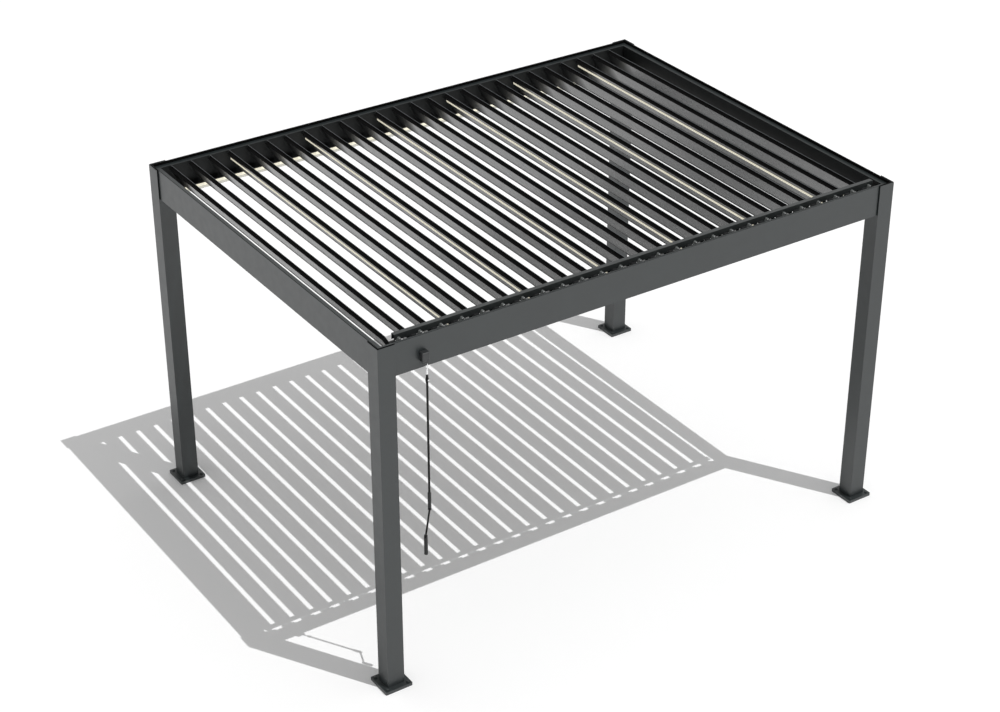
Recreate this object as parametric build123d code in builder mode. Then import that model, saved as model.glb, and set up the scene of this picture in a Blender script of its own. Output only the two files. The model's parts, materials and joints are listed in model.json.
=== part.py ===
"""Louvered pergola, millimetres, +Z up.

The origin is on the ground at the centre of the footprint. X runs along the long front,
and the front, with its crank and link bar, faces -Y. The louvres are part open.
"""

from math import atan2, cos, degrees, radians, sin
import os

from build123d import *

os.makedirs("parts", exist_ok=True)

# Overall sizes
width = 4000.0
depth = 3000.0
height = 2500.0

# Posts and feet
post_side = 120.0
post_wall = 3.0
foot_side = 195.0
foot_thick = 22.0
foot_chamfer = 3.0
anchor_spacing = 150.0
anchor_hole_radius = 6.0

# Beams: a hollow box with a rim above it and a gutter on its inner side
beam_height = 218.0
beam_recess = 10.0
beam_wall = 3.0
box_depth = 48.0
rim_height = 20.0
gutter_width = 62.0
gutter_wall = 2.5
gutter_height = 48.0
drain_radius = 22.0
seat_gap = 0.3

# Brackets and trims at the corners, and the seal along the rim
bracket_reach = 100.0
trim_height = 23.0
seal_thick = 4.0
seal_height = 19.0

# Light strips on the gutter
gutter_light_height = 18.0
gutter_light_thick = 3.0
gutter_light_drop = 8.0
gutter_light_inset = 40.0

# Louvres, in their closed position: u runs along the blade, w is up, both from the pivot
louvre_wanted_pitch = 146.0
louvre_side_gap = 38.8
louvre_gap = 6.8
louvre_open_angle = 58.5
pivot_drop = 100.0
blade_wall = 1.8
gutter_edge_u = 54.8
underside_w = -14.0
top_w = 13.0
lip_reach = 12.5
upstand_height = 20.0
channel_depth = 24.0
chamber_end_u = 29.0
cap_thick = 3.0
louvre_rear_gap = 18.0
louvre_front_gap = 79.0

# Light strips in the louvres
lit_step_count = 4
light_from_nose = 46.0
light_width = 26.0
light_deep = 4.0
light_proud = 6.0
light_clearance = 0.2
light_end_inset = 12.0

# Pivots, levers and link bar; round pieces have few sides, so that the facets stay few
pin_side_count = 8
turned_side_count = 12
pivot_radius = 5.0
running_clearance = 0.05
bush_side = 22.0
bush_gap = 5.0
pivot_end_gap = 1.0
lever_radius = 80.0
lever_angle = 69.5
lever_thick = 20.0
lever_big_radius = 14.0
lever_small_radius = 10.0
lever_gap = 5.0
link_pin_radius = 4.0
bar_width = 31.0
bar_height = 40.0
bar_wall = 3.0
bar_above_pin = 25.0
bar_blade_gap = 6.0
bar_left_overhang = 25.0
bar_right_overhang = 43.0

# Crank on the front beam
crank_from_end = 322.0
crank_stand_off = 28.0
gearbox_width = 50.0
gearbox_height = 62.0
gearbox_offset = 10.0
gearbox_front = 12.0
gearbox_rise = 53.0
gearbox_chamfer = 3.0
eye_radius = 11.0
eye_bar_radius = 3.0
eye_chamfer = 1.5
eye_shaft_radius = 5.0
eye_shaft_bite = 15.0
eye_drop = 3.0
hook_bar_radius = 3.5
hook_slack = 0.9
hook_tip_drop = 22.0
hook_jog_start = 16.0
hook_jog_end = 44.0
socket_below_eye = 75.0
socket_radius = 10.0
socket_length = 60.0
hook_bite = 25.0
hook_bend_steps = 6
rod_radius = 7.0
rod_length = 780.0
upper_grip_length = 109.0
upper_grip_radius = 11.0
arm_drop = 140.0
arm_run = 91.0
arm_side = (-0.75, -0.66)
arm_radius = 6.0
elbow_pin_radius = 3.0
elbow_eye_radius = 8.0
elbow_tongue = 8.0
elbow_cheek = 5.0
elbow_gap = 0.4
elbow_body_gap = 3.0
grip_radius = 12.0
grip_length = 125.0
grip_chamfer = 4.0

# Worked out from the sizes above
beam_bottom = height - beam_height
flange_top = height - rim_height
beam_out_x = width / 2 - beam_recess
beam_out_y = depth / 2 - beam_recess
box_in_x = beam_out_x - box_depth
box_in_y = beam_out_y - box_depth
gutter_in = box_depth + gutter_width
louvre_run = 2 * (box_in_x - louvre_side_gap)
louvre_count = round(louvre_run / louvre_wanted_pitch)
louvre_pitch = louvre_run / louvre_count
lit_louvres = range(lit_step_count, louvre_count + 1, lit_step_count)
pivot_height = height - pivot_drop
nose_u = gutter_edge_u + louvre_gap - louvre_pitch
louvre_rear_y = box_in_y - louvre_rear_gap
louvre_front_y = louvre_front_gap - box_in_y
louvre_length = louvre_rear_y - louvre_front_y
bar_rear_y = louvre_front_y - bar_blade_gap
bar_front_y = bar_rear_y - bar_width
lever_rear_y = bar_front_y - lever_gap
lever_front_y = lever_rear_y - lever_thick
pin_x = lever_radius * cos(radians(lever_angle))
pin_z = pivot_height + lever_radius * sin(radians(lever_angle))
crank_x = crank_from_end - width / 2
crank_y = -beam_out_y - crank_stand_off
gearbox_bottom = beam_bottom + gearbox_rise
eye_centre_z = gearbox_bottom - eye_drop - eye_radius - eye_bar_radius
socket_top = eye_centre_z - socket_below_eye
upper_grip_top = socket_top - socket_length - rod_length
elbow_neck = elbow_eye_radius + elbow_body_gap
elbow_top = upper_grip_top - upper_grip_length - elbow_neck
sides = {
    "front": Vector(0, -1, 0),
    "rear": Vector(0, 1, 0),
    "left": Vector(-1, 0, 0),
    "right": Vector(1, 0, 0),
}
corners = {"front_left": (-1, -1), "front_right": (1, -1), "rear_right": (1, 1), "rear_left": (-1, 1)}


def keep(piece, name):
    """Label a finished piece and write it."""
    piece.label = name
    export_step(piece, f"parts/{name}.step")


def out_of(side):
    """Distance of a beam's outer face from the centre, and half the run of that face."""
    if side.X:
        return beam_out_x, beam_out_y
    return beam_out_y, beam_out_x


def across(side):
    """Plane across a beam: local X runs inwards from its outer face, and local Y is up."""
    return Plane(origin=side * out_of(side)[0], x_dir=side * -1, z_dir=Vector(-side.Y, side.X, 0))


def mitre(side, end, inset):
    """Plane through a corner at 45 degrees, moved back along a beam, which lies below it."""
    reach, run = out_of(side)
    along = Vector(-side.Y, side.X, 0) * end
    return Plane(origin=side * reach + along * (run - inset), z_dir=along - side)


def make_beam(name, side):
    """One side's profile, mitred at both ends, with half a drain hole at each corner."""
    reach, run = out_of(side)
    with BuildPart() as beam:
        with BuildSketch(across(side)):
            with BuildLine():
                Polyline(
                    (0, beam_bottom),
                    (gutter_in, beam_bottom),
                    (gutter_in, beam_bottom + gutter_height),
                    (gutter_in - gutter_wall, beam_bottom + gutter_height),
                    (gutter_in - gutter_wall, beam_bottom + gutter_wall),
                    (box_depth, beam_bottom + gutter_wall),
                    (box_depth, flange_top),
                    (beam_wall, flange_top),
                    (beam_wall, height),
                    (0, height),
                    close=True,
                )
            make_face()
            with Locations((box_depth / 2, (beam_bottom + flange_top) / 2)):
                Rectangle(
                    box_depth - 2 * beam_wall,
                    flange_top - beam_bottom - 2 * beam_wall,
                    mode=Mode.SUBTRACT,
                )
        extrude(amount=run, both=True)
        for end in (-1, 1):
            split(bisect_by=mitre(side, end, seat_gap / 2), keep=Keep.BOTTOM)
        with BuildSketch(Plane.XY.offset(beam_bottom)):
            drain_x = beam_out_x - box_depth - gutter_width / 2
            drain_y = beam_out_y - box_depth - gutter_width / 2
            with GridLocations(2 * drain_x, 2 * drain_y, 2, 2):
                Circle(drain_radius)
        extrude(amount=gutter_wall, mode=Mode.SUBTRACT)
    keep(beam.part, name)


def make_post(name, sx, sy):
    """Square tube whose two outer walls go on past the beams' ends, up to the rim."""
    centre_x = sx * (width - post_side) / 2
    centre_y = sy * (depth - post_side) / 2
    with BuildPart() as post:
        with BuildSketch(Plane.XY.offset(foot_thick)):
            with Locations((centre_x, centre_y)):
                Rectangle(post_side, post_side)
                Rectangle(post_side - 2 * post_wall, post_side - 2 * post_wall, mode=Mode.SUBTRACT)
        extrude(amount=height - foot_thick)
        with BuildSketch(Plane.XY.offset(beam_bottom)):
            with Locations((centre_x - sx * post_wall, centre_y - sy * post_wall)):
                Rectangle(post_side, post_side)
        extrude(amount=height - beam_bottom, mode=Mode.SUBTRACT)
    keep(post.part, name)


def make_foot_plates():
    """One plate under each post, with a hole at each corner for an anchor."""
    with BuildPart() as plates:
        with BuildSketch() as plates_outline:
            with GridLocations(width - post_side, depth - post_side, 2, 2):
                Rectangle(foot_side, foot_side)
            chamfer(plates_outline.vertices(), foot_chamfer)
            with GridLocations(width - post_side, depth - post_side, 2, 2):
                with GridLocations(anchor_spacing, anchor_spacing, 2, 2):
                    Circle(anchor_hole_radius, mode=Mode.SUBTRACT)
        extrude(amount=foot_thick)
    keep(plates.part, "foot_plates")


def corner_angle(sx, sy, near, far, reach):
    """Outline of an angle in a corner, from near to far of the post's outer faces."""
    outer_x = width / 2
    outer_y = depth / 2
    Polyline(
        (sx * (outer_x - near), sy * (outer_y - near)),
        (sx * (outer_x - reach), sy * (outer_y - near)),
        (sx * (outer_x - reach), sy * (outer_y - far)),
        (sx * (outer_x - far), sy * (outer_y - far)),
        (sx * (outer_x - far), sy * (outer_y - reach)),
        (sx * (outer_x - near), sy * (outer_y - reach)),
        close=True,
    )


def make_corner_brackets():
    """Angles between the post heads and the beams' outer faces."""
    with BuildPart() as brackets:
        with BuildSketch(Plane.XY.offset(beam_bottom + seat_gap)):
            for sx, sy in corners.values():
                with BuildLine():
                    corner_angle(sx, sy, post_wall + seat_gap, beam_recess - seat_gap, bracket_reach)
                make_face()
        extrude(amount=flange_top - beam_bottom - 2 * seat_gap)
    keep(brackets.part, "corner_brackets")


def make_corner_trims():
    """Dark angles on the brackets, which close the top of each corner."""
    with BuildPart() as trims:
        with BuildSketch(Plane.XY.offset(flange_top)):
            for sx, sy in corners.values():
                with BuildLine():
                    corner_angle(sx, sy, post_wall + seat_gap, beam_recess - seat_gap, post_side)
                make_face()
        extrude(amount=trim_height)
    keep(trims.part, "corner_trims")


def seal_strip(side):
    """Strip along one rim, mitred at both ends."""
    with BuildPart() as strip:
        with BuildSketch(across(side)):
            with Locations((beam_wall + seal_thick / 2, flange_top + seal_height / 2)):
                Rectangle(seal_thick, seal_height)
        extrude(amount=out_of(side)[1], both=True)
        for end in (-1, 1):
            split(bisect_by=mitre(side, end, seat_gap / 2), keep=Keep.BOTTOM)
    return strip.part


def make_rim_seals():
    """Dark strip on the inner side of each rim."""
    strips = [seal_strip(side) for side in sides.values()]
    with BuildPart() as seals:
        add(strips)
    keep(seals.part, "rim_seals")


def make_gutter_lights():
    """Light strip on the room side of each gutter, between the posts."""
    middle = beam_bottom + gutter_height - gutter_light_drop - gutter_light_height / 2
    with BuildPart() as lights:
        for side in sides.values():
            clear_run = out_of(side)[1] + beam_recess - post_side - gutter_light_inset
            with BuildSketch(across(side)):
                with Locations((gutter_in + gutter_light_thick / 2, middle)):
                    Rectangle(gutter_light_thick, gutter_light_height)
            extrude(amount=clear_run, both=True)
    keep(lights.part, "gutter_lights")


def louvre_x(number):
    """Place of one louvre's pivot along X, counted from the left."""
    return (number - (louvre_count + 1) / 2) * louvre_pitch


def blade_plane(number):
    """Plane across a blade at its rear end: local X is u, local Y is w, and Z runs forwards."""
    turn = radians(louvre_open_angle)
    return Plane(
        origin=(louvre_x(number), louvre_rear_y, pivot_height),
        x_dir=(cos(turn), 0, -sin(turn)),
        z_dir=(0, -1, 0),
    )


def make_louvre(number):
    """Hollow blade with its end caps, pivot pins, lever and link pin."""
    plane = blade_plane(number)
    lit = number in lit_louvres
    web_u = (nose_u + channel_depth + chamber_end_u) / 2
    inner_w = underside_w + blade_wall
    chamber_tall = top_w - underside_w - 2 * blade_wall
    chamber_wide = (chamber_end_u - nose_u - channel_depth - 3 * blade_wall) / 2
    light_u = nose_u + light_from_nose
    pin = (louvre_x(number), pivot_height)
    link_pin = (louvre_x(number) + pin_x, pin_z)
    with BuildPart() as louvre:
        with BuildSketch(plane):
            with BuildLine():
                Polyline(
                    (nose_u, underside_w),
                    (gutter_edge_u, underside_w),
                    (gutter_edge_u, underside_w + upstand_height),
                    (gutter_edge_u - blade_wall, underside_w + upstand_height),
                    (gutter_edge_u - blade_wall, inner_w),
                    (chamber_end_u, inner_w),
                    (chamber_end_u, top_w),
                    (nose_u - lip_reach, top_w),
                    (nose_u - lip_reach, top_w - blade_wall),
                    (nose_u + channel_depth, top_w - blade_wall),
                    (nose_u + channel_depth, inner_w),
                    (nose_u, inner_w),
                    close=True,
                )
            make_face()
            with Locations((web_u, (underside_w + top_w) / 2)):
                with GridLocations(chamber_wide + blade_wall, chamber_tall, 2, 1):
                    Rectangle(chamber_wide, chamber_tall, mode=Mode.SUBTRACT)
            if lit:
                groove_wide = light_width + 2 * light_clearance
                groove_deep = light_deep + light_clearance
                with Locations((light_u, underside_w)):
                    Rectangle(
                        groove_wide + 2 * blade_wall,
                        groove_deep + blade_wall,
                        align=(Align.CENTER, Align.MIN),
                    )
                    Rectangle(
                        groove_wide,
                        groove_deep,
                        align=(Align.CENTER, Align.MIN),
                        mode=Mode.SUBTRACT,
                    )
        extrude(amount=louvre_length)
        with BuildSketch(plane, plane.offset(louvre_length - cap_thick)):
            with Locations(((nose_u + chamber_end_u) / 2, (underside_w + top_w) / 2)):
                Rectangle(chamber_end_u - nose_u, top_w - underside_w)
        extrude(amount=cap_thick)
        with BuildSketch(Plane.XZ.offset(-louvre_rear_y)):
            with Locations(pin):
                RegularPolygon(pivot_radius, pin_side_count)
        extrude(amount=louvre_rear_y + pivot_end_gap - box_in_y)
        with BuildSketch(Plane.XZ.offset(-louvre_front_y)):
            with Locations(pin):
                RegularPolygon(pivot_radius, pin_side_count)
        extrude(amount=box_in_y - pivot_end_gap + louvre_front_y)
        with BuildSketch(Plane.XZ.offset(-lever_rear_y)):
            with Locations(pin):
                RegularPolygon(lever_big_radius, pin_side_count)
            with Locations(link_pin):
                RegularPolygon(lever_small_radius, pin_side_count)
            make_hull()
        extrude(amount=lever_thick)
        with BuildSketch(Plane.XZ.offset(-lever_rear_y)):
            with Locations(link_pin):
                RegularPolygon(link_pin_radius, pin_side_count)
        extrude(amount=lever_rear_y - bar_rear_y + bar_wall + pivot_end_gap)
    keep(louvre.part, f"louvre_{number:02d}")


def make_louvre_light(number):
    """Light strip that fills the groove in a lit louvre's underside, with a domed lens."""
    middle_u = nose_u + light_from_nose
    with BuildPart() as light:
        with BuildSketch(blade_plane(number).offset(light_end_inset)):
            with BuildLine():
                left = (middle_u - light_width / 2, underside_w)
                right = (middle_u + light_width / 2, underside_w)
                ThreePointArc(left, (middle_u, underside_w - light_proud), right)
                Polyline(
                    right,
                    (right[0], underside_w + light_deep),
                    (left[0], underside_w + light_deep),
                    left,
                )
            make_face()
        extrude(amount=louvre_length - 2 * light_end_inset)
    keep(light.part, f"louvre_light_{number:02d}")


def pin_hole(radius, mode=Mode.ADD):
    """Hole whose flats lie clear outside the circle that a pin's corners run on."""
    RegularPolygon(radius + running_clearance, pin_side_count, major_radius=False, mode=mode)


def make_bushes(name, near, far):
    """Row of bushes that carry the louvres' pins, from y = near to y = far."""
    with BuildPart() as bushes:
        with BuildSketch(Plane.XZ.offset(-near)):
            with Locations((0, pivot_height)):
                with GridLocations(louvre_pitch, bush_side, louvre_count, 1):
                    Rectangle(bush_side, bush_side)
                    pin_hole(pivot_radius, Mode.SUBTRACT)
        extrude(amount=near - far)
    keep(bushes.part, name)


def make_link_bar():
    """Inverted channel over the front pins, with a hole in its front wall for each link pin."""
    top = pin_z + bar_above_pin
    left = louvre_x(1) + pin_x - bar_left_overhang
    right = louvre_x(louvre_count) + pin_x + bar_right_overhang
    with BuildPart() as bar:
        with BuildSketch(Plane.YZ.offset(left)):
            with Locations(((bar_front_y + bar_rear_y) / 2, top)):
                Rectangle(bar_width, bar_height, align=(Align.CENTER, Align.MAX))
            with Locations(((bar_front_y + bar_rear_y) / 2, top - bar_wall)):
                Rectangle(
                    bar_width - 2 * bar_wall,
                    bar_height,
                    align=(Align.CENTER, Align.MAX),
                    mode=Mode.SUBTRACT,
                )
        extrude(amount=right - left)
        with BuildSketch(Plane.XZ.offset(-bar_front_y)):
            with Locations((pin_x, pin_z)):
                with GridLocations(louvre_pitch, bar_height, louvre_count, 1):
                    pin_hole(link_pin_radius)
        extrude(amount=-bar_wall, mode=Mode.SUBTRACT)
    keep(bar.part, "link_bar")


def make_gearbox():
    """Housing on the front beam's outer face, with a bore under it for the eye's shaft."""
    back = -beam_out_y - seat_gap
    front = crank_y - gearbox_front
    with BuildPart() as gearbox:
        with BuildSketch(Plane.XY.offset(gearbox_bottom)):
            with Locations((crank_x - gearbox_offset, (back + front) / 2)):
                Rectangle(gearbox_width, back - front)
        extrude(amount=gearbox_height)
        outer = gearbox.faces().sort_by(Axis.Y)[0]
        chamfer(outer.edges(), gearbox_chamfer)
        with BuildSketch(Plane.XY.offset(gearbox_bottom)):
            with Locations((crank_x, crank_y)):
                pin_hole(eye_shaft_radius)
        extrude(amount=eye_shaft_bite + pivot_end_gap, mode=Mode.SUBTRACT)
    keep(gearbox.part, "gearbox")


elbow_side = Vector(*arm_side).normalized()
crank_plane = Plane(
    origin=(crank_x, crank_y, 0),
    x_dir=elbow_side,
    z_dir=Vector(elbow_side.Y, -elbow_side.X, 0),
)
fork_half = elbow_tongue / 2 + elbow_gap + elbow_cheek
low_elbow = (arm_run, elbow_top - arm_drop)


def make_crank_eye():
    """Ring under the gearbox, on a shaft that runs up into it."""
    with BuildPart() as eye:
        with BuildSketch(Plane.XZ.offset(-crank_y)):
            with Locations((crank_x, eye_centre_z)):
                RegularPolygon(eye_radius + eye_bar_radius, turned_side_count)
                RegularPolygon(
                    eye_radius - eye_bar_radius, turned_side_count, mode=Mode.SUBTRACT
                )
        extrude(amount=eye_bar_radius, both=True)
        chamfer(eye.faces().filter_by(Axis.Y).edges(), eye_chamfer)
        with BuildSketch(Plane.XY.offset(eye_centre_z + eye_radius)):
            with Locations((crank_x, crank_y)):
                RegularPolygon(eye_shaft_radius, turned_side_count)
        extrude(amount=gearbox_bottom + eye_shaft_bite - eye_centre_z - eye_radius)
    keep(eye.part, "crank_eye")


def make_crank_hook():
    """Round bar bent over the ring's lower side, then back to the middle of the rod."""
    bend = eye_bar_radius + hook_bar_radius + hook_slack
    over = eye_centre_z - eye_radius
    turns = [radians(180 * step / hook_bend_steps) for step in range(hook_bend_steps + 1)]
    with BuildPart() as hook:
        with BuildLine(Plane.YZ.offset(crank_x)) as path:
            Polyline(
                (crank_y + bend, over - hook_tip_drop),
                *[(crank_y + bend * cos(turn), over + bend * sin(turn)) for turn in turns],
                (crank_y - bend, over - hook_jog_start),
                (crank_y, over - hook_jog_end),
                (crank_y, socket_top - hook_bite),
            )
        with BuildSketch(Plane(origin=path.line @ 0, z_dir=path.line % 0)):
            RegularPolygon(hook_bar_radius, pin_side_count)
        sweep(transition=Transition.RIGHT)
    keep(hook.part, "crank_hook")


def fork(pin, way):
    """Two cheeks and their pin, drawn from the pin up (way 1) or down (way -1) to a body."""
    with BuildPart() as cheeks:
        for level in (elbow_tongue / 2 + elbow_gap, -fork_half):
            with BuildSketch(crank_plane.offset(level)):
                with Locations(pin):
                    RegularPolygon(elbow_eye_radius, turned_side_count)
                    Rectangle(
                        2 * elbow_eye_radius,
                        elbow_neck,
                        align=(Align.CENTER, Align.MIN if way > 0 else Align.MAX),
                    )
            extrude(amount=elbow_cheek)
        with BuildSketch(crank_plane.offset(-fork_half)):
            with Locations(pin):
                RegularPolygon(elbow_pin_radius, pin_side_count)
        extrude(amount=2 * fork_half)
    return cheeks.part


def make_crank_rod():
    """Socket, rod and upper grip, one below the other, with a fork at the lower end."""
    cheeks = fork((0, elbow_top), 1)
    levels = [
        (socket_top, socket_radius),
        (socket_top - socket_length, rod_radius),
        (upper_grip_top, upper_grip_radius),
        (elbow_top + elbow_neck, None),
    ]
    with BuildPart() as rod:
        for (top, radius), (bottom, _) in zip(levels, levels[1:]):
            with BuildSketch(Plane.XY.offset(bottom)):
                with Locations((crank_x, crank_y)):
                    RegularPolygon(radius, turned_side_count)
            extrude(amount=top - bottom)
        with BuildSketch(Plane.XY.offset(socket_top)):
            with Locations((crank_x, crank_y)):
                pin_hole(hook_bar_radius)
        extrude(amount=-hook_bite - pivot_end_gap, mode=Mode.SUBTRACT)
        add(cheeks)
    keep(rod.part, "crank_rod")


def make_crank_arm():
    """Slanting arm with a flat eye at each end."""
    length = Vector(arm_run, -arm_drop).length
    lean = degrees(atan2(-arm_drop, arm_run))
    middle = (arm_run / 2, elbow_top - arm_drop / 2)
    top_pin = crank_plane.from_local_coords(Vector(0, elbow_top, 0))
    low_pin = crank_plane.from_local_coords(Vector(*low_elbow, 0))
    down = (low_pin - top_pin).normalized()
    with BuildPart() as arm:
        with BuildSketch(crank_plane.offset(-elbow_tongue / 2)):
            with Locations((0, elbow_top), low_elbow):
                RegularPolygon(elbow_eye_radius, turned_side_count)
            with Locations(Location((*middle, 0), lean)):
                Rectangle(length, 2 * arm_radius - elbow_body_gap)
            with Locations((0, elbow_top), low_elbow):
                pin_hole(elbow_pin_radius, Mode.SUBTRACT)
        extrude(amount=elbow_tongue)
        with BuildSketch(Plane(origin=top_pin + down * elbow_neck, z_dir=down)):
            RegularPolygon(arm_radius, turned_side_count)
        extrude(amount=length - 2 * elbow_neck)
    keep(arm.part, "crank_arm")


def make_crank_grip():
    """Lower grip, with a fork at its upper end."""
    cheeks = fork(low_elbow, -1)
    top = low_elbow[1] - elbow_neck
    with BuildPart() as grip:
        centre = crank_plane.from_local_coords(Vector(low_elbow[0], top, 0))
        with BuildSketch(Plane(origin=centre, z_dir=(0, 0, -1))):
            RegularPolygon(grip_radius, turned_side_count)
        extrude(amount=grip_length)
        chamfer(grip.faces().sort_by(Axis.Z)[0].edges(), grip_chamfer)
        add(cheeks)
    keep(grip.part, "crank_grip")


for corner, (corner_x, corner_y) in corners.items():
    make_post(f"post_{corner}", corner_x, corner_y)
for side_name, side_way in sides.items():
    make_beam(f"beam_{side_name}", side_way)
make_foot_plates()
make_corner_brackets()
make_corner_trims()
make_rim_seals()
make_gutter_lights()
for count in range(1, louvre_count + 1):
    make_louvre(count)
for count in lit_louvres:
    make_louvre_light(count)
make_bushes("bushes_front", lever_front_y - bush_gap, seat_gap - box_in_y)
make_bushes("bushes_rear", louvre_rear_y + bush_gap, box_in_y - seat_gap)
make_link_bar()
make_gearbox()
make_crank_eye()
make_crank_hook()
make_crank_rod()
make_crank_arm()
make_crank_grip()
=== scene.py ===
"""Looks of the louvered pergola: finishes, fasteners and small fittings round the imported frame.

Metres, in the frame's own axes: X along the front, the front faces -Y, and +Z is up.
"""

import json
import math

import bmesh
import bpy
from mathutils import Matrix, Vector

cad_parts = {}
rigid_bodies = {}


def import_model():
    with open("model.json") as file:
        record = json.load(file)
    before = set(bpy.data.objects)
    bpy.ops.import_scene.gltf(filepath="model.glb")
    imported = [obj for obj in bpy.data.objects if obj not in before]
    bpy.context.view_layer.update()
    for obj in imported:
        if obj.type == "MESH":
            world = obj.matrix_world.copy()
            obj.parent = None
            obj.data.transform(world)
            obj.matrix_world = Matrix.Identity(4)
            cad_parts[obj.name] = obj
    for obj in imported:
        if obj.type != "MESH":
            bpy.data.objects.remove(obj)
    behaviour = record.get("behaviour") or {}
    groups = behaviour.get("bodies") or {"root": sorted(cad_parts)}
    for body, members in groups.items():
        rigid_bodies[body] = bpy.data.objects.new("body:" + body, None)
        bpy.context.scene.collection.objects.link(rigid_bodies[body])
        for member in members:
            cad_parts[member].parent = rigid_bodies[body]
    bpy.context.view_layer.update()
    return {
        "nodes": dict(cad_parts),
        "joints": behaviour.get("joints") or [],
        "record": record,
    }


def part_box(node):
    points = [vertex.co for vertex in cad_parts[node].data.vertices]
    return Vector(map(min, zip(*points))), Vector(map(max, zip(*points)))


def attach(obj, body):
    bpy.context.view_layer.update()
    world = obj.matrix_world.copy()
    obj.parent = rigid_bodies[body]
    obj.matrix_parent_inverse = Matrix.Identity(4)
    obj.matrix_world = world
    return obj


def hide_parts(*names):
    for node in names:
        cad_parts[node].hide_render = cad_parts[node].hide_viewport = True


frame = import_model()

MM = 0.001
nodes = frame["nodes"]
joints = {joint["name"]: joint for joint in frame["joints"]}
bodies = frame["record"]["behaviour"]["bodies"]
louvres = sorted(name for name in nodes if name.startswith("louvre_") and "light" not in name)
tilt_of = {joint["child"]: joint for joint in frame["joints"]}


def body_with(node):
    """The body that carries a node."""
    return next(body for body, names in bodies.items() if node in names)


# Colours and nodes

def colour(text):
    """A hex sRGB colour as linear red, green, blue and alpha."""
    parts = [int(text[i:i + 2], 16) / 255 for i in (1, 3, 5)]
    return [c / 12.92 if c <= 0.04045 else ((c + 0.055) / 1.055) ** 2.4 for c in parts] + [1.0]


def add(tree, kind, inputs=None, **settings):
    """Add one node; settings are its properties, and inputs take sockets or plain values."""
    node = tree.nodes.new(kind)
    for key, value in settings.items():
        setattr(node, key, value)
    for key, value in (inputs or {}).items():
        if isinstance(value, bpy.types.NodeSocket):
            tree.links.new(value, node.inputs[key])
        else:
            node.inputs[key].default_value = value
    return node


def new_material(name, inputs=None):
    """A material with a principled shader, some of whose inputs are set by name."""
    material = bpy.data.materials.new(name)
    material.use_nodes = True
    shader = material.node_tree.nodes["Principled BSDF"]
    for key, value in (inputs or {}).items():
        shader.inputs[key].default_value = value
    return material, material.node_tree, shader


def object_place(tree):
    """Object coordinates, in metres."""
    return add(tree, "ShaderNodeTexCoord").outputs["Object"]


def noise(tree, place, size_mm, detail=3.0, stretch=(1, 1, 1)):
    """Noise whose lumps are about size_mm across, as a factor from 0 to 1."""
    scaled = add(tree, "ShaderNodeVectorMath", {0: place, 1: stretch}, operation="MULTIPLY")
    scale = 1 / (size_mm * MM)
    settings = {"Vector": scaled.outputs[0], "Scale": scale, "Detail": detail}
    return add(tree, "ShaderNodeTexNoise", settings).outputs[0]


def between(tree, factor, low, high):
    """A factor from 0 to 1 moved to the range from low to high."""
    ends = {"Value": factor, "To Min": low, "To Max": high}
    return add(tree, "ShaderNodeMapRange", ends).outputs[0]


def blend_colours(tree, factor, first, second):
    """Mix of two colours; each is a hex text or a socket."""
    first, second = [colour(tone) if isinstance(tone, str) else tone for tone in (first, second)]
    return add(tree, "ShaderNodeMix", {0: factor, 6: first, 7: second}, data_type="RGBA").outputs[2]


def blend_values(tree, factor, first, second):
    """Mix of two numbers; each is a number or a socket."""
    return add(tree, "ShaderNodeMix", {0: factor, 2: first, 3: second}).outputs[0]


def bump(tree, shader, height, depth_mm, strength=1.0):
    """Relief of a given depth in millimetres on a shader's normal."""
    settings = {"Height": height, "Strength": strength, "Distance": depth_mm * MM}
    tree.links.new(add(tree, "ShaderNodeBump", settings).outputs[0], shader.inputs["Normal"])


# Materials

# Dark and pale tone of each coat; they are close to black, since the photograph's greys come mostly
# from what the coats mirror
COAT = ("#161C1D", "#1C2425")
BLADE = ("#181A1B", "#1E2021")
COAT_IOR = 1.72
BLADE_IOR = 1.47
# Millimetres across the clouds, the changes of sheen and the orange peel; the peel is 1 to 2 mm in
# reality, and is drawn at 5 mm so that it shows
CLOUD, SHEEN, PEEL = 180, 60, 5


def powder_coat(name, tone, roughness=0.4):
    """Polyester powder coat on aluminium: satin, with a fine orange peel and faint cloudiness."""
    material, tree, shader = new_material(name, {"IOR": COAT_IOR})
    place = object_place(tree)
    tree.links.new(
        blend_colours(tree, noise(tree, place, CLOUD), *tone), shader.inputs["Base Color"]
    )
    tree.links.new(
        between(tree, noise(tree, place, SHEEN), roughness - 0.05, roughness + 0.07),
        shader.inputs["Roughness"],
    )
    bump(tree, shader, noise(tree, place, PEEL, detail=2), 0.05, 0.4)
    return material


def axis_mask(tree, place, axis, low, high):
    """1 where the place lies between low and high along an axis, 0 elsewhere."""
    apart = add(tree, "ShaderNodeSeparateXYZ", {0: place})
    middle, half = (low + high) / 2, (high - low) / 2
    ends = {0: apart.outputs[axis], 1: middle, 2: half}
    return add(tree, "ShaderNodeMath", ends, operation="COMPARE").outputs[0]


def either(tree, first, second):
    """1 where either mask is 1."""
    return add(tree, "ShaderNodeMath", {0: first, 1: second}, operation="MAXIMUM").outputs[0]


# Where a louvre's pieces end along Y, from its front pin to its rear pin, as in the part's source
LOW_Y, HIGH_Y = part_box("louvre_01")[0][1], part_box("louvre_01")[1][1]
LEVER_FRONT, LEVER_REAR = -1.425, -1.405
BLADE_FRONT, BLADE_REAR = -1.363, 1.424
CAP = 3 * MM
# How far a mask reaches past a face, so that the face itself lies inside it
SKIN = 0.3 * MM
# Distances before the rear end between which a blade grows duller, which keeps the gutter's light
# strips from showing in it a second time
DULL_FROM, DULL_FULL = 290 * MM, 150 * MM


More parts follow.
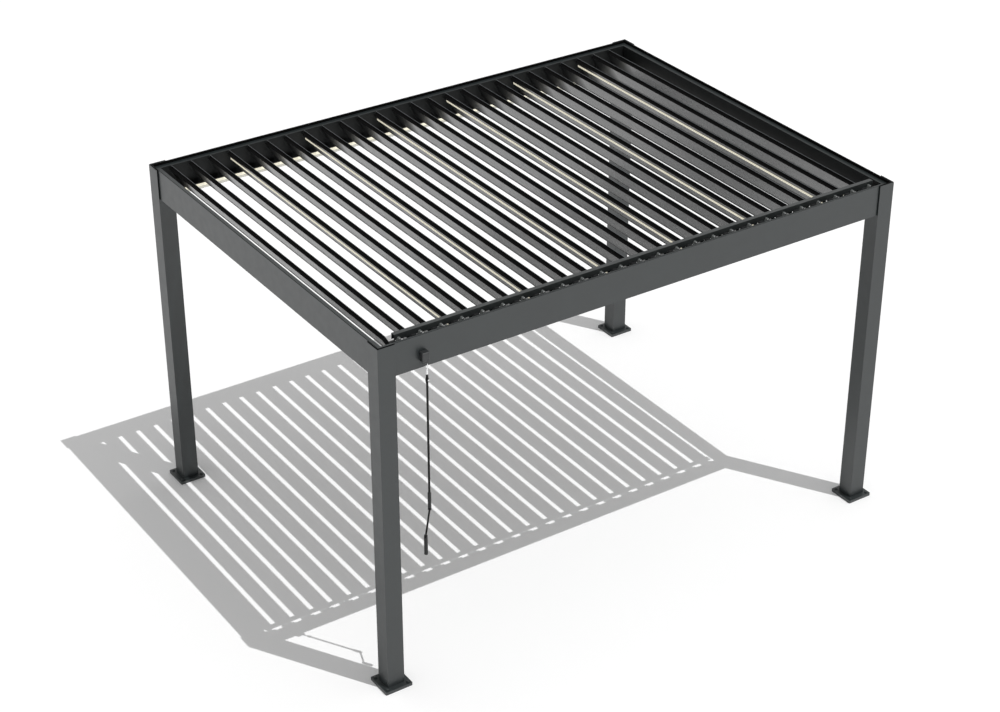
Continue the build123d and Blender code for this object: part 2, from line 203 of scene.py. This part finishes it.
def blade_coat():
    """Coated blade with black nylon end caps, a light grey lever and steel pins."""
    material, tree, shader = new_material("powder_coated_blade", {"IOR": BLADE_IOR})
    place = object_place(tree)
    caps = either(
        tree,
        axis_mask(tree, place, 1, BLADE_FRONT - SKIN, BLADE_FRONT + CAP),
        axis_mask(tree, place, 1, BLADE_REAR - CAP, BLADE_REAR + SKIN),
    )
    lever = axis_mask(tree, place, 1, LEVER_FRONT - SKIN, LEVER_REAR + SKIN)
    steel_front = axis_mask(tree, place, 1, LEVER_REAR + SKIN, BLADE_FRONT - SKIN)
    steel_end = axis_mask(tree, place, 1, LOW_Y - SKIN, LEVER_FRONT - SKIN)
    steel_rear = axis_mask(tree, place, 1, BLADE_REAR + SKIN, HIGH_Y + SKIN)
    steel = either(tree, either(tree, steel_front, steel_end), steel_rear)
    dressed = blend_colours(tree, noise(tree, place, CLOUD, stretch=(1, 0.2, 1)), *BLADE)
    dressed = blend_colours(tree, caps, dressed, "#141516")
    dressed = blend_colours(tree, lever, dressed, "#646766")
    dressed = blend_colours(tree, steel, dressed, "#9A9C9C")
    tree.links.new(dressed, shader.inputs["Base Color"])
    tree.links.new(steel, shader.inputs["Metallic"])
    rough = between(tree, noise(tree, place, SHEEN), 0.24, 0.31)
    along = add(tree, "ShaderNodeSeparateXYZ", {0: place}).outputs[1]
    reach = {"Value": along, "From Min": BLADE_REAR - DULL_FROM, "From Max": BLADE_REAR - DULL_FULL}
    rough = blend_values(tree, add(tree, "ShaderNodeMapRange", reach).outputs[0], rough, 0.7)
    moulded = either(tree, caps, lever)
    tree.links.new(blend_values(tree, moulded, rough, 0.55), shader.inputs["Roughness"])
    bump(tree, shader, noise(tree, place, PEEL, detail=2), 0.05, 0.3)
    return material


def plain_plastic(name, tone, roughness, grain_mm=3, depth_mm=0.05, index=1.5):
    """Moulded plastic or rubber with a fine grain."""
    material, tree, shader = new_material(name, {"IOR": index})
    place = object_place(tree)
    tree.links.new(
        blend_colours(tree, noise(tree, place, 40), *tone), shader.inputs["Base Color"]
    )
    tree.links.new(
        between(tree, noise(tree, place, 15), roughness - 0.06, roughness + 0.06),
        shader.inputs["Roughness"],
    )
    bump(tree, shader, noise(tree, place, grain_mm, detail=2), depth_mm, 0.4)
    return material


def bare_metal(name, tone, roughness):
    """Plated or anodised metal with faint marks."""
    material, tree, shader = new_material(name, {"Metallic": 1.0})
    place = object_place(tree)
    marks = noise(tree, place, 4, detail=4)
    tree.links.new(blend_colours(tree, marks, *tone), shader.inputs["Base Color"])
    tree.links.new(
        between(tree, marks, roughness * 0.7, roughness * 1.3), shader.inputs["Roughness"]
    )
    bump(tree, shader, marks, 0.02, 0.3)
    return material


def diffuser(name, strength):
    """Warm white diffuser of a light strip: frosted polycarbonate, lit from inside."""
    material, tree, shader = new_material(name, {"Roughness": 0.5, "Emission Strength": strength})
    place = object_place(tree)
    cloud = noise(tree, place, 30)
    tree.links.new(blend_colours(tree, cloud, "#DEDBC8", "#E6E3D2"), shader.inputs["Base Color"])
    tree.links.new(
        blend_colours(tree, cloud, "#FFF6DA", "#FFF9E6"), shader.inputs["Emission Color"]
    )
    bump(tree, shader, noise(tree, place, 4), 0.05, 0.3)
    return material


finishes = {
    # satin grey of the posts and beams, paler where it faces the floor's light
    "frame_aluminium": powder_coat("powder_coated_aluminium", COAT),
    # smoother and nearly black, with a grey gleam along each blade
    "louvre_aluminium": blade_coat(),
    # a slightly lighter line in front of the blades
    "link_bar_aluminium": powder_coat("powder_coated_channel", ("#252929", "#2C3030")),
    # black line that takes no highlight; along the blades' noses it is painted shade
    "black_seal": plain_plastic("black_seal_and_nose_shade", ("#020202", "#050505"), 0.75, index=1.2),
    # painted shade: the beams' inner walls above the gutter, darker where the blades shade them,
    # which keeps the blades' ends readable
    "painted_shade_inside": plain_plastic("painted_shade_inner_wall", ("#1A1C1C", "#202222"), 0.5, 5, index=1.4),
    # the posts' grey, a little flatter
    "foot_steel": powder_coat("powder_coated_steel", COAT, 0.45),
    # soft black of moulded plates
    "nylon": plain_plastic("black_nylon", ("#131415", "#1A1B1C"), 0.5),
    # dark, flat and slightly coarse housing
    "gear_casting": powder_coat("coated_die_casting", ("#15181A", "#1B1E20"), 0.5),
    # white glint of the hook against the dark beam
    "chrome": bare_metal("chromed_steel", ("#F0F1F2", "#F6F7F7"), 0.3),
    # black line of the rod against the white background
    "crank_metal": plain_plastic("coated_crank_tube", ("#050606", "#090A0A"), 0.45, index=1.3),
    # a shade greyer and coarser than the rod
    "grip_plastic": plain_plastic("black_soft_grip", ("#101112", "#18191A"), 0.55, 2, 0.1),
    # warm white stripe, with no glare
    "light_diffuser": diffuser("lit_diffuser", 0.5),
}
# pale dots of the pin heads and screws
zinc = bare_metal("zinc_plated_steel", ("#C8CACA", "#D8DADA"), 0.4)
# beige band below the gutter's light strips
anodised = bare_metal("anodised_aluminium", ("#D8D6CC", "#E2E0D6"), 0.45)
# painted highlight: fine grey line along each blade's free edge
lip_highlight_paint = plain_plastic("painted_highlight_lip", ("#5A5D5E", "#64676A"), 0.6)
slots = {entry["node"]: entry["material_slot"] for entry in frame["record"]["subparts"]}
for node, shown in nodes.items():
    shown.data.materials.clear()
    shown.data.materials.append(finishes[slots[node]])


# Solids, built face by face

def put(name, data):
    """An object for a mesh, lamp or camera, linked to the scene."""
    piece = bpy.data.objects.new(name, data)
    bpy.context.scene.collection.objects.link(piece)
    return piece


def finished(name, work, finish, body=None, stands_for=()):
    """The built solids as one piece that rides on a body."""
    bmesh.ops.recalc_face_normals(work, faces=work.faces)
    mesh = bpy.data.meshes.new(name)
    work.to_mesh(mesh)
    work.free()
    mesh.materials.append(finish)
    piece = put(name, mesh)
    if body:
        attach(piece, body)
    if stands_for:
        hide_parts(*stands_for)
    return piece


def axes_at(origin, out):
    """Turns local millimetres into a place: z runs out, and y is as near up as it can be."""
    z = Vector(out).normalized()
    x = Vector((0, 0, 1)).cross(z).normalized()
    y = z.cross(x)
    return lambda u, v, w: Vector(origin) + (x * u + y * v + z * w) * MM


def standing(origin):
    """Local millimetres at a place, with z up."""
    return lambda u, v, w: Vector(origin) + Vector((u, v, w)) * MM


def add_rings(work, rings, closed=False):
    """Skin between rings of points; a ring of one point is a tip."""
    follow = rings[1:] + rings[:1] if closed else rings[1:]
    for lower, upper in zip(rings, follow):
        sides = max(len(lower), len(upper))
        for step in range(sides):
            after = (step + 1) % sides
            quad = [lower[step % len(lower)], lower[after % len(lower)]]
            quad += [upper[after % len(upper)], upper[step % len(upper)]]
            corners = list(dict.fromkeys(quad))
            if len(corners) > 2:
                work.faces.new(corners)


def add_turned(work, profile, place, sides=24, closed=False):
    """Solid of revolution from points (radius, height); a closed one has a hole."""
    rings = []
    for radius, level in profile:
        if radius == 0:
            rings.append([work.verts.new(place(0, 0, level))])
            continue
        angles = [math.tau * step / sides for step in range(sides)]
        around = [place(radius * math.cos(a), radius * math.sin(a), level) for a in angles]
        rings.append([work.verts.new(point) for point in around])
    add_rings(work, rings, closed)


def add_prism(work, outline, place, reach):
    """Flat outline drawn out from one level of its third axis to another."""
    ends = [[work.verts.new(place(u, v, w)) for u, v in outline] for w in reach]
    add_rings(work, ends)
    for ring in ends:
        work.faces.new(ring)


def add_bar(work, points, radius, normal, sides=14, closed=False):
    """Round bar along points in one plane, whose normal is given."""
    rings = []
    out = Vector(normal)
    last = len(points) - 1
    for index, point in enumerate(points):
        before = points[index - 1] if index or closed else point
        after = points[(index + 1) % len(points)] if index < last or closed else point
        side = (after - before).normalized().cross(out)
        angles = [math.tau * step / sides for step in range(sides)]
        around = [(out * math.cos(a) + side * math.sin(a)) * radius * MM for a in angles]
        rings.append([work.verts.new(point + step) for step in around])
    add_rings(work, rings, closed)
    if not closed:
        work.faces.new(rings[0])
        work.faces.new(rings[-1])


ROUNDED_FROM = math.radians(25)


def softened(node, width, inner=None, inside=None):
    """A node's own shape, its edges rounded by a width in mm; faces inside get a second material,
    on the beams a painted shade.
    """
    work = bmesh.new()
    work.from_mesh(nodes[node].data)
    bmesh.ops.remove_doubles(work, verts=work.verts, dist=0.01 * MM)
    flat = math.radians(1)
    bmesh.ops.dissolve_limit(work, angle_limit=flat, verts=work.verts, edges=work.edges)
    joined = [edge for edge in work.edges if len(edge.link_faces) == 2]
    bmesh.ops.bevel(
        work,
        geom=[edge for edge in joined if edge.calc_face_angle() > ROUNDED_FROM],
        offset=width * MM,
        segments=2,
        profile=0.5,
        affect="EDGES",
        clamp_overlap=True,
    )
    if inner:
        for face in work.faces:
            face.material_index = 1 if inside(face.calc_center_median()) else 0
    slot = slots[node]
    piece = finished("soft_" + node, work, finishes[slot], body_with(node), [node])
    if inner:
        piece.data.materials.append(inner)


# Fasteners, repeated over their points by a node tree

def master_of(name, profile, sides=24):
    """A turned piece at the origin, to be repeated."""
    work = bmesh.new()
    add_turned(work, profile, standing((0, 0, 0)), sides)
    return finished(name, work, zinc)


def repeat_tree():
    """Node tree that sets a master piece on every point, turned and coated by named inputs."""
    tree = bpy.data.node_groups.new("set_on_points", "GeometryNodeTree")
    sockets = {}
    for label, kind in (
        ("Points", "NodeSocketGeometry"),
        ("Master", "NodeSocketObject"),
        ("Turn", "NodeSocketVector"),
        ("Finish", "NodeSocketMaterial"),
    ):
        item = tree.interface.new_socket(name=label, in_out="INPUT", socket_type=kind)
        sockets[label] = item.identifier
    tree.interface.new_socket(name="Result", in_out="OUTPUT", socket_type="NodeSocketGeometry")
    entry = tree.nodes.new("NodeGroupInput")
    leave = tree.nodes.new("NodeGroupOutput")
    master = add(tree, "GeometryNodeObjectInfo", {"Object": entry.outputs["Master"]})
    placed = add(
        tree,
        "GeometryNodeInstanceOnPoints",
        {
            "Points": entry.outputs["Points"],
            "Instance": master.outputs["Geometry"],
        },
    )
    turn = add(tree, "FunctionNodeEulerToRotation", {0: entry.outputs["Turn"]})
    tree.links.new(turn.outputs[0], placed.inputs["Rotation"])
    real = add(tree, "GeometryNodeRealizeInstances", {0: placed.outputs[0]})
    coated = {"Geometry": real.outputs[0], "Material": entry.outputs["Finish"]}
    dressed = add(tree, "GeometryNodeSetMaterial", coated)
    tree.links.new(dressed.outputs[0], leave.inputs[0])
    return tree, sockets


REPEAT, REPEAT_IN = repeat_tree()


def set_on_points(name, places, master, finish, body, turn=(0, 0, 0)):
    """Copies of a master piece at the given places, as one plain mesh that rides on a body."""
    seed = bpy.data.meshes.new(name + "_points")
    seed.from_pydata([tuple(place) for place in places], [], [])
    holder = put(name + "_points", seed)
    modifier = holder.modifiers.new("set", "NODES")
    modifier.node_group = REPEAT
    modifier[REPEAT_IN["Master"]] = master
    modifier[REPEAT_IN["Turn"]] = turn
    modifier[REPEAT_IN["Finish"]] = finish
    graph = bpy.context.evaluated_depsgraph_get()
    mesh = bpy.data.meshes.new_from_object(holder.evaluated_get(graph))
    mesh.name = name
    bpy.data.objects.remove(holder)
    piece = put(name, mesh)
    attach(piece, body)


# Frame: rounded edges, and the beams' inner faces above their undersides in a darker material of
# painted shade

BOX_DEPTH = 48 * MM
INNER_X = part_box("beam_right")[1][0] - BOX_DEPTH + 1 * MM
INNER_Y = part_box("beam_rear")[1][1] - BOX_DEPTH + 1 * MM


def in_gutter(place):
    """Whether a face of a beam lies on the roof's inner side, where the painted shade goes."""
    sideways = abs(place.x) < INNER_X and abs(place.y) < INNER_Y
    return sideways and place.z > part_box("beam_front")[0][2] + 2 * MM


# the beams' inner walls take the darker material of painted shade
for side in ("front", "rear", "left", "right"):
    softened(f"beam_{side}", 0.8, finishes["painted_shade_inside"], in_gutter)
for corner in ("front_left", "front_right", "rear_right", "rear_left"):
    softened(f"post_{corner}", 1.2)
softened("foot_plates", 1.5)
softened("corner_trims", 1.0)

# Section of the aluminium carrier under each light strip of the gutter: millimetres inwards from
# the strips' outer side, then up from the ground; and the carriers' half lengths along X and Y
CARRIER = [(-0.5, 2284), (1.2, 2284), (1.2, 2302.6), (3.4, 2302.6), (3.4, 2303.9), (-0.5, 2303.9)]
RUN_X, RUN_Y = 1.84, 1.34
gutter_x, gutter_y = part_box("gutter_lights")[1][:2]


def along_x(way):
    """Places of a carrier at the front (-1) or the rear (1)."""
    return lambda u, v, w: Vector((w, way * (gutter_y - u * MM), v * MM))


def along_y(way):
    """Places of a carrier at the left (-1) or the right (1)."""
    return lambda u, v, w: Vector((way * (gutter_x - u * MM), w, v * MM))


work = bmesh.new()
for way in (-1, 1):
    add_prism(work, CARRIER, along_x(way), (-RUN_X, RUN_X))
    add_prism(work, CARRIER, along_y(way), (-RUN_Y, RUN_Y))
finished("gutter_light_carriers", work, anodised, "frame")


# Louvres: pin heads, cap screws, a black nose strip of painted shade, a paler lip strip of painted
# highlight, drip rib and lever plate

# Turns that point a fastener to the front or to the rear
TO_FRONT = (math.pi / 2, 0, 0)
TO_REAR = (-math.pi / 2, 0, 0)
# Profiles of the fasteners: radius and height in millimetres
PIN_HEAD = [(0, -2), (8, -2), (8, 2), (7, 3), (2.4, 3), (2.4, 1), (0, 1)]
CAP_SCREW = [(0, -1), (4, -1), (4, 0.6), (3.2, 1.6), (1.5, 1.6), (1.5, 0.6), (0, 0.6)]
ANCHOR = [(0, -2), (13, -2), (13, 1.5), (9, 1.5), (9, 5), (7.5, 6.6), (4, 7.4), (0, 7.6)]
pin_head = master_of("pin_head_master", PIN_HEAD, 20)
cap_screw = master_of("cap_screw_master", CAP_SCREW, 12)
anchor = master_of("anchor_master", ANCHOR)

link = joints["link_bar_pin"]
lever = Vector(link["pos_m"]) - Vector(tilt_of[link["parent"]]["pos_m"])
opened = math.radians(-tilt_of["louvre_01"]["range_deg"][0])
# Places in the closed blade, in millimetres from its pivot: along the blade, then up
SCREWS = ((-30, -8), (-30, 7), (22, -8), (22, 7))
# Black strip in the blade's nose, painted shade that keeps the nose black: the nose's lower corner,
# and the strip's section from there
NOSE = (-84.8, -14.0)
IN_NOSE = [
    (16, 2), (-0.2, 2), (-0.2, 0.3), (-1.8, 0.2), (-2.6, 8), (-3.2, 16), (-4.6, 21.5),
    (-8.2, 24.2), (-12, 24.6), (-12, 25.1), (16, 25.1),
]
NOSE_SHADE_STRIP = [(NOSE[0] + u, NOSE[1] + w) for u, w in IN_NOSE]
# Paler strip along the blade's free edge, a painted highlight of the lip
LIP_HIGHLIGHT = [(-97.6, 10.4), (-97.2, 10.4), (-97.2, 13.1), (-97.6, 13.1)]
# Drip rib under the blade's gutter edge
RIB = [(47, -13.5), (54.7, -13.5), (54.7, -16.3), (54.1, -16.9), (50.5, -16.9), (47, -14.8)]
STRIP_ENDS = (BLADE_FRONT + CAP, BLADE_REAR - CAP)
# Nylon plate round the foot of the lever, as it stands at rest: millimetres along X, then up. It is
# 0.2 mm thinner than the lever on each side.
PLATE = [
    (-36, -16), (42, -16), (47, -10), (47, 34), (41, 40), (8, 42), (4, 66), (-2, 72), (-32, 72),
    (-39, 65), (-39, -10),
]
PLATE_ENDS = (LEVER_FRONT + 0.2 * MM, LEVER_REAR - 0.2 * MM)


def from_closed(pivot, along, up, y):
    """A point of a blade, from its place in the closed blade in millimetres."""
    x = along * MM * math.cos(opened) + up * MM * math.sin(opened)
    z = -along * MM * math.sin(opened) + up * MM * math.cos(opened)
    return Vector((pivot[0] + x, y, pivot[2] + z))


def blade_strip(label, name, pivot, section, finish):
    """A strip of one section along a blade, between its end caps."""
    work = bmesh.new()
    add_prism(work, section, lambda u, w, y: from_closed(pivot, u, w, y), STRIP_ENDS)
    finished(f"{label}_{name[-2:]}", work, finish, name)


def at_pivot(pivot):
    """Places of a plate across a pivot: millimetres along X and up, then metres along Y."""
    return lambda u, w, y: Vector((pivot.x + u * MM, y, pivot.z + w * MM))


for name in louvres:
    pivot = Vector(tilt_of[body_with(name)]["pos_m"])
    number = name[-2:]
    head = Vector((pivot.x + lever.x, LEVER_FRONT, pivot.z + lever.z))
    set_on_points(f"link_pin_head_{number}", [head], pin_head, zinc, name, TO_FRONT)
    fronts = [from_closed(pivot, u, w, BLADE_FRONT) for u, w in SCREWS]
    rears = [from_closed(pivot, u, w, BLADE_REAR) for u, w in SCREWS]
    set_on_points(f"front_cap_screws_{number}", fronts, cap_screw, zinc, name, TO_FRONT)
    set_on_points(f"rear_cap_screws_{number}", rears, cap_screw, zinc, name, TO_REAR)
    # painted shade: black strip along the nose
    blade_strip("nose_seal", name, pivot, NOSE_SHADE_STRIP, finishes["black_seal"])
    # painted highlight: paler strip along the lip's edge
    blade_strip("lip_edge", name, pivot, LIP_HIGHLIGHT, lip_highlight_paint)
    blade_strip("drip_rib", name, pivot, RIB, finishes["louvre_aluminium"])
    work = bmesh.new()
    add_prism(work, PLATE, at_pivot(pivot), PLATE_ENDS)
    finished(f"lever_plate_{number}", work, finishes["nylon"], name)

CORNERS = ((-1, -1), (-1, 1), (1, -1), (1, 1))
anchor_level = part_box("foot_plates")[1][2] + 2 * MM
anchors = []
for mount in frame["record"]["mounts"]:
    if mount["name"].startswith("anchors_"):
        x, y, _ = mount["pos_m"]
        reach = mount["dims"]["spacing_x_mm"] / 2 * MM
        anchors += [(x + sx * reach, y + sy * reach, anchor_level) for sx, sy in CORNERS]
set_on_points("anchor_nuts", anchors, anchor, finishes["foot_steel"], "frame")

for master in (pin_head, cap_screw, anchor):
    bpy.data.objects.remove(master)


# Crank: gearbox, eye, hook, rod and grips, as turned and bent pieces

def arc(centre, radius, start, stop, steps):
    """Points of an arc in degrees, round a centre in one plane, as pairs."""
    angles = [math.radians(start + (stop - start) * step / steps) for step in range(steps + 1)]
    return [(centre[0] + radius * math.cos(a), centre[1] + radius * math.sin(a)) for a in angles]


# Millimetres from one groove of a grip to the next, and a groove's depth
GROOVE_PITCH, GROOVE_DEPTH = 8.0, 0.9


def ribbed(radius, top, bottom):
    """Profile of a grip from its top to its bottom, with a groove at every pitch."""
    points = [(0, top), (radius - 2.5, top), (radius - 0.6, top - 1.2), (radius, top - 3)]
    level = top - 8
    while level - GROOVE_PITCH > bottom + 6:
        points += [(radius, level), (radius - GROOVE_DEPTH, level - 0.9)]
        points += [(radius - GROOVE_DEPTH, level - 2.1), (radius, level - 3)]
        level -= GROOVE_PITCH
    points += [(radius, bottom + 3), (radius - 0.8, bottom + 1.2)]
    return points + [(radius - 3, bottom), (0, bottom)]


# Millimetres: bend radius and bar radius of the eye and the hook, and radius of the hook's sleeve
EYE_RADIUS, EYE_BAR = 11.0, 3.0
HOOK_BEND, HOOK_BAR = 7.4, 4.1
SLEEVE = 5.7
# Millimetres from the gearbox's middle to its screws
GEAR_SCREW_X, GEAR_SCREW_Z = 17, 23
crank_x, crank_y = joints["crank_turn"]["pos_m"][:2]
crank_at = Vector((crank_x, crank_y, 0))
eye_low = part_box("crank_eye")[0][2]
eye_centre = crank_at + Vector((0, 0, eye_low + (EYE_RADIUS + EYE_BAR) * MM))
X, Y, Z = Vector((1, 0, 0)), Vector((0, 1, 0)), Vector((0, 0, 1))

softened("gearbox", 2.0)
gear_low, gear_high = (Vector(corner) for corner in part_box("gearbox"))
middle = (gear_low + gear_high) / 2
work = bmesh.new()
for sx, sz in CORNERS:
    aside, up = sx * GEAR_SCREW_X * MM, sz * GEAR_SCREW_Z * MM
    spot = Vector((middle.x + aside, gear_low.y, middle.z + up))
    add_turned(work, CAP_SCREW, axes_at(spot, (0, -1, 0)), 16)
finished("gearbox_screws", work, finishes["gear_casting"], "frame")
work = bmesh.new()
bell = [(5.6, 2), (12, 2), (12, -1.2), (10.8, -2.4), (5.6, -2.4)]
add_turned(work, bell, standing(crank_at + Z * gear_low.z), closed=True)
finished("gearbox_bell", work, finishes["gear_casting"], "frame")

work = bmesh.new()
ring = [eye_centre + (X * u + Z * w) * MM for u, w in arc((0, 0), EYE_RADIUS, 0, 360, 36)[:-1]]
add_bar(work, ring, EYE_BAR, Y, closed=True)
top = (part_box("crank_eye")[1][2] - eye_centre.z) / MM
shaft = [(0, EYE_RADIUS), (4.6, EYE_RADIUS), (5, EYE_RADIUS + 4), (5, top), (0, top)]
add_turned(work, shaft, standing(eye_centre))
finished("crank_eye_ring", work, finishes["gear_casting"], "crank", ["crank_eye"])

# The hook bends over the eye's lower bar, and eases to the rod's axis in a jog. Its tip and the two
# ends of the jog are given in millimetres below that bar.
HOOK_TIP = 22
JOG = (16.0, 44.0)
JOG_STEPS = 10
work = bmesh.new()
over = -EYE_RADIUS
hook_low = (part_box("crank_hook")[0][2] - eye_centre.z) / MM
path = [(HOOK_BEND, over - HOOK_TIP)] + arc((0, over), HOOK_BEND, 0, 180, 16)
for step in range(JOG_STEPS + 1):
    t = step / JOG_STEPS
    ease = t * t * (3 - 2 * t)
    path.append((-HOOK_BEND * (1 - ease), over - JOG[0] - (JOG[1] - JOG[0]) * t))
path.append((0, hook_low))
add_bar(work, [eye_centre + (Y * v + Z * w) * MM for v, w in path], HOOK_BAR, X)
neck = over - JOG[1] + 4
sleeve = [(0, neck), (HOOK_BAR, neck), (SLEEVE, neck - 6), (SLEEVE, hook_low), (0, hook_low)]
add_turned(work, sleeve, standing(eye_centre))
finished("crank_hook_bar", work, finishes["chrome"], "crank", ["crank_hook"])

elbow = Vector(joints["crank_arm_fold"]["pos_m"])
low_pin = Vector(joints["crank_grip_fold"]["pos_m"])
pin_way = Vector(joints["crank_arm_fold"]["axis"]).normalized()
run = low_pin - elbow
outwards = Vector((run.x, run.y, 0)).normalized()
# Elbows, in millimetres: the cheeks' inner and outer sides, the grip's distance from the pin, the
# cheeks' radius, and the profile of one end of the pin
CHEEKS = ((4.4, 9.4), (-9.4, -4.4))
NECK = 11.0
ELBOW = 8.0
PIN = [(0, -11), (4, -11), (5.2, -10.2), (5.2, -9.4), (3, -9.4)]
PIN += [(radius, -level) for radius, level in reversed(PIN)]


def in_crank_plane(centre, across, along):
    """Local millimetres at a pin: the plane of the crank's arms, and out of it."""
    return lambda u, v, w: centre + (across * u + along * v + pin_way * w) * MM


def add_fork(work, centre, way):
    """Two rounded cheeks with their pin; the cheeks run on up (1) or down (-1) to a grip."""
    place = in_crank_plane(centre, outwards, Z * way)
    outline = arc((0, 0), ELBOW, 180, 360, 14) + [(ELBOW, NECK), (-ELBOW, NECK)]
    for reach in CHEEKS:
        add_prism(work, outline, place, reach)
    add_turned(work, PIN, axes_at(centre, pin_way), 18)


# Rod with its socket, grips and arm: radii and lengths in millimetres; the arm's bar starts inside
# the tongues, ARM_START from each pin
SOCKET_LENGTH, ROD_LENGTH, ROD_RADIUS = 60, 780, 7
UPPER_GRIP_RADIUS, UPPER_GRIP_LENGTH = 11, 109
LOWER_GRIP_RADIUS, LOWER_GRIP_LENGTH = 12, 125
ARM_RADIUS, ARM_START = 6, 13
SOCKET = [(0, 0), (5.4, 0), (7.4, -1.6), (7.8, -4), (7.8, -18), (8.6, -25), (10.6, -34)]
SOCKET += [(10.6, -45), (9.6, -52), (7.4, -SOCKET_LENGTH)]
# Push button on the socket's side: place from the socket's top, way out, and profile
BUTTON_AT = (3.4, -9.8, -39)
BUTTON_OUT = (0.33, -0.94, 0)
BUTTON = [(0, -3), (6, -3), (6, 1), (5.2, 1.8), (0, 1.8)]
socket_at = crank_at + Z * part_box("crank_rod")[1][2]
rod_end = -SOCKET_LENGTH - ROD_LENGTH
work = bmesh.new()
profile = SOCKET + [(ROD_RADIUS, -62), (ROD_RADIUS, rod_end - 2), (0, rod_end - 2)]
add_turned(work, profile, standing(socket_at))
finished("crank_rod_tube", work, finishes["crank_metal"], "crank", ["crank_rod"])
work = bmesh.new()
add_turned(work, BUTTON, axes_at(socket_at + Vector(BUTTON_AT) * MM, BUTTON_OUT), 20)
finished("socket_button", work, finishes["chrome"], "crank")
work = bmesh.new()
upper_grip = ribbed(UPPER_GRIP_RADIUS, 0, -UPPER_GRIP_LENGTH)
add_turned(work, upper_grip, standing(socket_at + Z * (rod_end * MM)))
add_fork(work, elbow, 1)
finished("upper_grip", work, finishes["grip_plastic"], "crank")

work = bmesh.new()
down = run.normalized()
aside = down.cross(pin_way)
for centre, way in ((elbow, down), (low_pin, -down)):
    tongue = arc((0, 0), ELBOW, 180, 360, 14) + [(ELBOW, 4), (5, 20), (-5, 20), (-ELBOW, 4)]
    add_prism(work, tongue, in_crank_plane(centre, aside, way), (-4, 4))
inset = down * ARM_START * MM
ends = [elbow + inset, low_pin - inset]
add_bar(work, ends, ARM_RADIUS, pin_way, 20)
tube = finishes["crank_metal"]
finished("crank_arm_bar", work, tube, "crank_arm", ["crank_arm"])

work = bmesh.new()
lower_grip = ribbed(LOWER_GRIP_RADIUS, -NECK, -NECK - LOWER_GRIP_LENGTH)
add_turned(work, lower_grip, standing(low_pin), 28)
add_fork(work, low_pin, -1)
finished("lower_grip", work, finishes["grip_plastic"], "crank_grip", ["crank_grip"])


# Floor, light and camera

FLOOR_REACH = 60.0
# Light from all round, on surfaces
AMBIENT = 0.55
# Sines of the elevations between which the white horizon darkens to the ceiling, and its level
CEILING_FROM = 0.26
CEILING_FULL = 0.45
CEILING_LEVEL = 0.5
# Way to the key light, its strength, and its width in degrees, fitted to the photograph's shadow
KEY_TOWARDS = (0.211, -0.355, 1.0)
KEY_STRENGTH = 1.95
KEY_SPREAD = 0.25


def stage_floor():
    """Wide white floor that keeps the object's shadow."""
    mesh = bpy.data.meshes.new("studio_floor")
    corners = [(FLOOR_REACH * sx, FLOOR_REACH * sy, 0) for sx, sy in CORNERS]
    mesh.from_pydata(corners, [], [(0, 2, 3, 1)])
    floor = put("studio_floor", mesh)
    matt = {"Base Color": colour("#FBFBFB"), "Roughness": 1.0, "Specular IOR Level": 0.0}
    mesh.materials.append(new_material("white_studio_floor", matt)[0])


def studio_world():
    """Even light; what is seen or mirrored is a white horizon under a dark ceiling."""
    world = bpy.data.worlds.new("studio")
    world.use_nodes = True
    tree = world.node_tree
    shade = tree.nodes["Background"]
    shade.inputs["Color"].default_value = colour("#FFFFFF")
    rays = add(tree, "ShaderNodeLightPath")
    seen = either(tree, rays.outputs["Is Camera Ray"], rays.outputs["Is Glossy Ray"])
    seen = either(tree, seen, rays.outputs["Is Transmission Ray"])
    way = add(tree, "ShaderNodeTexCoord").outputs[0]
    height = add(tree, "ShaderNodeSeparateXYZ", {0: way})
    ends = {"Value": height.outputs[2], "From Min": CEILING_FROM, "From Max": CEILING_FULL}
    ends.update({"To Min": 1.0, "To Max": CEILING_LEVEL})
    ceiling = add(tree, "ShaderNodeMapRange", ends).outputs[0]
    tree.links.new(blend_values(tree, seen, AMBIENT, ceiling), shade.inputs["Strength"])
    bpy.context.scene.world = world


def sun(name, towards, strength, spread):
    """A far lamp; towards points from the object to the lamp."""
    data = bpy.data.lights.new(name, "SUN")
    data.energy = strength
    data.angle = math.radians(spread)
    lamp = put(name, data)
    lamp.rotation_mode = "QUATERNION"
    lamp.rotation_quaternion = Vector(towards).to_track_quat("Z", "Y")


stage_floor()
studio_world()
sun("key", KEY_TOWARDS, KEY_STRENGTH, KEY_SPREAD)

# Place, heading and lens of the camera, fitted to the photograph's posts and beams
EYE = (-7.4222, -10.9006, 8.8183)
HEADING = 33.7156
PITCH = -30.4075
LENS = 78.28
view = bpy.data.cameras.new("camera")
view.lens = LENS
camera = put("camera", view)
camera.location = EYE
camera.rotation_euler = (math.radians(90 + PITCH), 0, math.radians(-HEADING))
bpy.context.scene.camera = camera
bpy.context.scene.view_settings.view_transform = "Standard"
